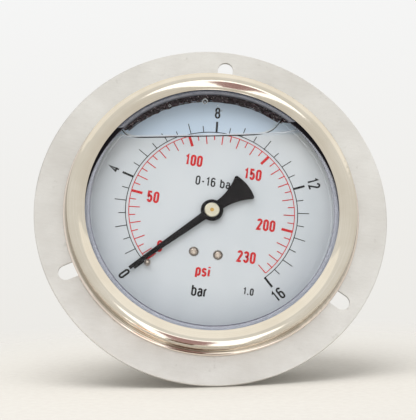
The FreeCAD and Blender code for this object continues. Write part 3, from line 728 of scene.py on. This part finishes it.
# ---------------------------------------------------------------- the stem's G 1/2 thread
def threaded_socket():
    """The socket with its stem turned down to a core, and a helical thread round the core."""
    start, end, pitch, core = 49.2, 66.0, 1.814, 9.2   # of the thread, and the core's radius
    under, root = 8.8, 9.32                # radii of the hidden ends and of the thread's root
    shell = Shell()
    for vertex in nodes["socket"].data.vertices:
        p = vertex.co / MM
        spoke = Vector((p.x - STEM.x, 0, p.z - STEM.z))
        if start - 0.4 < p.y < end + 0.1 and spoke.length > core:
            spoke *= core / spoke.length
            p = Vector((STEM.x + spoke.x, p.y, STEM.z + spoke.z))
        shell.points.append(tuple(p))
    shell.faces = [tuple(face.vertices) for face in nodes["socket"].data.polygons]
    around, along = 72, 168
    loops = [[(STEM.x + under * math.cos(t), start, STEM.z + under * math.sin(t))
              for t in (2 * math.pi * j / around for j in range(around))]]
    for i in range(along + 1):
        y = start + (end - start) * i / along
        taper = 0.25 * (max(0, 1 - (y - start) / 0.9) + 1.6 * max(0, 1 - (end - y) / 1.1))
        loop = []
        for j in range(around):
            t = 2 * math.pi * j / around
            phase = ((y - start) / pitch - j / around) % 1.0
            tooth = min(1.0, max(0.0, 2.3 * (0.5 - abs(phase - 0.5)) - 0.08))
            r = max(core + 0.05, root + (THREAD_R - root) * tooth * (1 - taper))
            loop.append((STEM.x + r * math.cos(t), y, STEM.z + r * math.sin(t)))
        loops.append(loop)
    loops.append([(x, end, z) for x, _, z in loops[0]])
    shell.add(*rings(loops))
    made = shell.piece("threaded_socket", FINISHES["socket_steel"], "gauge", "socket_steel")
    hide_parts("socket")


threaded_socket()


# ---------------------------------------------------------------- studio
def stage_panel(finish, outline, at, turned):
    """A flat sheet of the studio, outlined in millimetres round a place."""
    name = finish.mat.name
    mesh = bpy.data.meshes.new(name)
    mesh.from_pydata([(x * MM, y * MM, 0.0) for x, y in outline], [], [tuple(range(len(outline)))])
    mesh.materials.append(finish.mat)
    made = bpy.data.objects.new(name, mesh)
    scene.collection.objects.link(made)
    made.matrix_world = Matrix.Translation(Vector(at) * MM) @ turned.to_4x4()
    return made


def floor():
    """A pale table that fades out into the backdrop, seen only from above."""
    f = Finish("table")
    grain = f.noise(0.4, 4.0)
    colour = f.mix(f.span(grain, 0.3, 0.7), srgb(224, 221, 215), srgb(218, 214, 208))
    paint = f.node("ShaderNodeBsdfDiffuse", Color=colour)
    empty = f.node("ShaderNodeBsdfTransparent")
    distance = f.vector("LENGTH", f.place)
    share = f.maths("MAXIMUM", f.span(distance, 60.0, 190.0),
                    f.node("ShaderNodeNewGeometry").outputs["Backfacing"])
    f.blend(share, paint, empty)
    turns = [2 * math.pi * i / 64 for i in range(64)]
    stage_panel(f, [(350.0 * math.cos(t), 350.0 * math.sin(t)) for t in turns],
                UP * (GROUND - 0.05), UP.to_track_quat("Z", "Y").to_matrix())


def squared(v):
    """Bulges a circle's coordinate, so that the outline is an oval with fuller corners."""
    return math.copysign(abs(v) ** 0.5, v)


def card(name, at, size, facing, colour, strength):
    """An oval studio card round a place, seen only as a reflection in polished metal."""
    f = Finish(name)
    glow = f.node("ShaderNodeEmission", Color=colour, Strength=strength)
    f.tree.links.new(glow.outputs[0], f.out.inputs["Surface"])
    turns = [2 * math.pi * i / 48 for i in range(48)]
    outline = [(size[0] / 2 * squared(math.cos(t)), size[1] / 2 * squared(math.sin(t)))
               for t in turns]
    z = Vector(facing).normalized()
    x = Vector((1, 0, 0)) - z * z.x
    x.normalize()
    made = stage_panel(f, outline, at, Matrix((x, z.cross(x), z)).transposed())
    for kind in ("camera", "diffuse", "transmission", "volume_scatter", "shadow"):
        setattr(made, "visible_" + kind, False)


def lamp(name, way, distance, size, power, colour):
    """A soft lamp that faces the gauge."""
    data = bpy.data.lights.new(name, "AREA")
    data.shape, data.size, data.size_y = "RECTANGLE", size[0] * MM, size[1] * MM
    data.energy, data.color = power, colour
    made = bpy.data.objects.new(name, data)
    scene.collection.objects.link(made)
    way = Vector(way).normalized()
    made.matrix_world = Matrix.Translation(way * distance * MM) @ way.to_track_quat(
        "Z", "Y").to_matrix().to_4x4()
    made.visible_glossy = False


def backdrop():
    """Soft white surroundings, a little warmer low down, and a little dimmer to everything that
    they light than to the eye."""
    world = bpy.data.worlds.new("studio")
    world.use_nodes = True
    tree = world.node_tree
    tree.nodes.clear()
    out = tree.nodes.new("ShaderNodeOutputWorld")
    height = tree.nodes.new("ShaderNodeVectorMath")
    height.operation = "DOT_PRODUCT"
    tree.links.new(tree.nodes.new("ShaderNodeTexCoord").outputs["Generated"], height.inputs[0])
    height.inputs[1].default_value = UP

    def shades(start, end, low_colour, high_colour):
        tone = tree.nodes.new("ShaderNodeMapRange")
        tree.links.new(height.outputs["Value"], tone.inputs["Value"])
        tone.inputs["From Min"].default_value = start
        tone.inputs["From Max"].default_value = end
        made = tree.nodes.new("ShaderNodeMix")
        made.data_type = "RGBA"
        tree.links.new(tone.outputs[0], made.inputs[0])
        made.inputs[6].default_value, made.inputs[7].default_value = low_colour, high_colour
        return made.outputs[2]

    pick = tree.nodes.new("ShaderNodeMix")
    pick.data_type = "RGBA"
    path = tree.nodes.new("ShaderNodeLightPath")
    tree.links.new(path.outputs["Is Camera Ray"], pick.inputs[0])
    tree.links.new(shades(-0.4, 0.7, srgb(224, 220, 213), srgb(240, 240, 238)), pick.inputs[6])
    tree.links.new(shades(-0.25, 0.2, srgb(231, 228, 221), srgb(249, 250, 251)), pick.inputs[7])
    shade = tree.nodes.new("ShaderNodeBackground")
    tree.links.new(pick.outputs[2], shade.inputs["Color"])
    tree.links.new(shade.outputs[0], out.inputs["Surface"])
    scene.world = world


def on_table(x, ahead, height):
    """A place on the table in front of the gauge's foot."""
    forward = Vector((0, -1, 0)) + UP * UP.y
    forward.normalize()
    foot = Vector((0, 0, -FLANGE_R))
    foot -= UP * (foot.dot(UP) - GROUND)
    return foot + Vector((x, 0, 0)) + forward * ahead + UP * height


floor()
backdrop()
# What the polished bezel mirrors: the ceiling, a window with somebody's hands before it, and the
# table's bright, dark and warm patches. Places and sizes are in millimetres.
card("ceiling_card", (-28, -220, 300), (682, 680), (0, 0, -1), (1.0, 0.985, 0.94, 1), 1.12)
card("window_card", aim(1.7, -14) * 700, (340, 560), -aim(1.7, -14), (1.0, 1.0, 1.0, 1), 2.0)
card("hand_card", aim(-0.3, -16) * 640, (125, 420), -aim(-0.3, -16), srgb(176, 142, 142), 1.0)
card("bright_table", on_table(-4, 60, 1.0), (125, 90), UP, (1.0, 0.99, 0.97, 1), 2.0)
card("dark_patch", on_table(0, 62, 2.0), (44, 100), UP, srgb(96, 72, 52), 1.0)
card("warm_patch", on_table(-34, 60, 2.2), (24, 80), UP, srgb(244, 172, 110), 1.1)
lamp("ceiling", UP + Vector((-0.25, -0.35, 0)), 800, (700, 600), 4.0, (1.0, 0.99, 0.975))
scene.view_settings.view_transform = "Standard"
